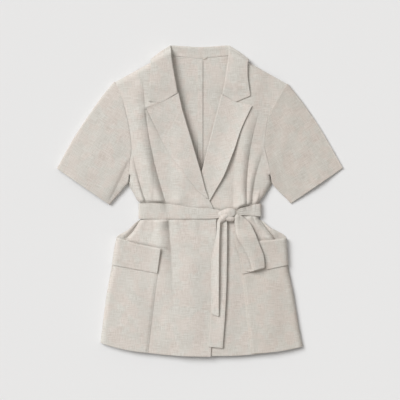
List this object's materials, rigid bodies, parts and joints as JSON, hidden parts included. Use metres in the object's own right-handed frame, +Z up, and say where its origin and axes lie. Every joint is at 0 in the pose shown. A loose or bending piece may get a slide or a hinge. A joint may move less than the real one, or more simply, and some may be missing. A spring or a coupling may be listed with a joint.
{
  "type": "short-sleeve belted jacket",
  "caption": "Wrap-front blazer with short sleeves, notched lapels, big cuffed patch pockets and a tied belt, laid flat.",
  "frame": {"origin": "centre of the laid-out jacket, on the surface that it lies on", "axes": "+Y towards the collar, +X towards the wearer's left side, +Z up from the surface, out of the fronts"},
  "size_m": [0.658, 0.7152, 0.0212],
  "materials": {
    "cloth": "matt plain weave in a pale greige mixed yarn, with slubs along and across"
  },
  "bodies": {
    "root": {"right_front": "cloth", "left_front": "cloth", "right_back": "cloth", "left_back": "cloth", "centre_back_seam": "cloth", "collar": "cloth", "right_lapel": "cloth", "left_lapel": "cloth", "right_sleeve": "cloth", "left_sleeve": "cloth", "right_pocket": "cloth", "left_pocket": "cloth", "right_pocket_cuff": "cloth", "left_pocket_cuff": "cloth", "belt": "cloth", "belt_knot": "cloth", "belt_loop": "cloth", "belt_tail_upper": "cloth", "belt_tail_under": "cloth"}
  },
  "joints": []
}
